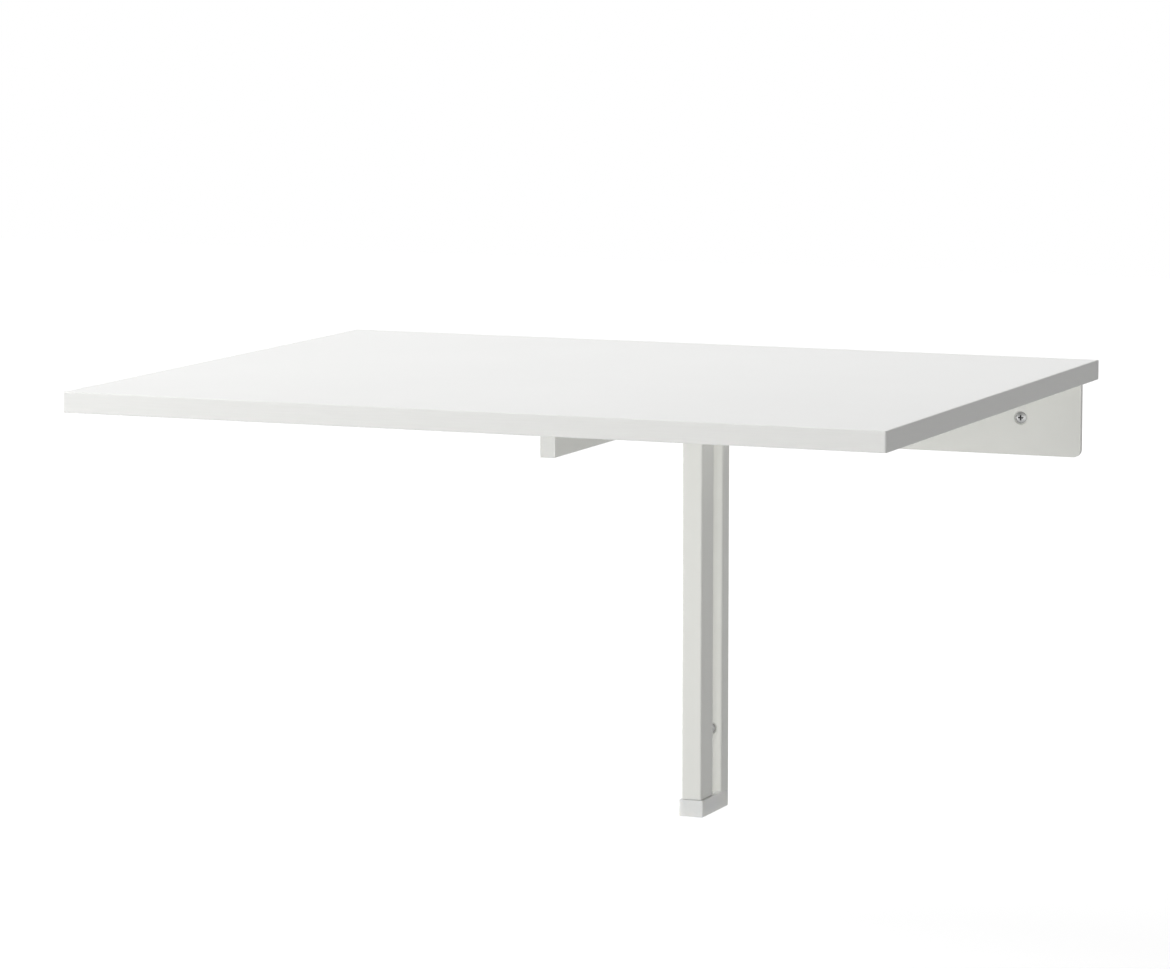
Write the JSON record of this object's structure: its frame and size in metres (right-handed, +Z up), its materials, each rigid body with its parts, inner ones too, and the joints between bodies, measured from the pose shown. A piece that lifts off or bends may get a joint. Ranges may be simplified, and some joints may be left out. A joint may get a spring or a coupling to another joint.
{
  "type": "wall mounted drop leaf table",
  "caption": "Rectangular table leaf hinged to a wall plate with a narrow shelf, held level by a gate whose arm folds flat to the wall.",
  "frame": {"origin": "middle of the row of wall screw holes, on the wall's surface", "axes": "+X along the wall, to the right of someone who faces it; +Y into the wall; +Z up"},
  "size_m": [0.74, 0.593, 0.437],
  "materials": {
    "laminate": "smooth satin laminate on an 18 mm board",
    "edge_band": "satin plastic edging",
    "coated_steel": "fine textured powder coat, semi matt",
    "moulded_plastic": "fine grained moulding",
    "bush_plastic": "smooth natural bearing plastic",
    "hinge_steel": "zinc plated",
    "fastener_steel": "zinc plated",
    "pin_steel": "bright drawn"
  },
  "bodies": {
    "frame": {"wall_plate": "coated_steel", "rail": "coated_steel", "foot_block": "moulded_plastic", "top_pivot_bush": "bush_plastic", "foot_pivot_bush": "bush_plastic", "hinge_wall_leaf_left": "hinge_steel", "hinge_wall_leaf_right": "hinge_steel", "hinge_pin_left": "hinge_steel", "hinge_pin_right": "hinge_steel", "hinge_rivets": "fastener_steel"},
    "leaf": {"leaf_board": "laminate", "edge_band_front": "edge_band", "edge_band_back": "edge_band", "edge_band_left": "edge_band", "edge_band_right": "edge_band", "hinge_table_leaf_left": "hinge_steel", "hinge_table_leaf_right": "hinge_steel", "hinge_screws": "fastener_steel", "arm_rest": "moulded_plastic", "arm_rest_screws": "fastener_steel"},
    "gate": {"post_tube": "coated_steel", "arm_tube": "coated_steel", "arm_end_cap": "moulded_plastic", "post_top_plug": "moulded_plastic", "post_foot_plug": "moulded_plastic", "top_pivot_pin": "pin_steel", "foot_pivot_pin": "pin_steel", "thrust_washer": "bush_plastic"}
  },
  "joints": [
    {"name": "gate_swing", "type": "hinge", "parent": "frame", "child": "gate", "pos_m": [0, -0.0495, 0], "axis": [0, 0, 1], "range_deg": [-90, 90]},
    {"name": "leaf_hinge", "type": "hinge", "parent": "frame", "child": "leaf", "pos_m": [0, -0.064, 0.0343], "axis": [1, 0, 0], "range_deg": [-2.5, 0]}
  ]
}
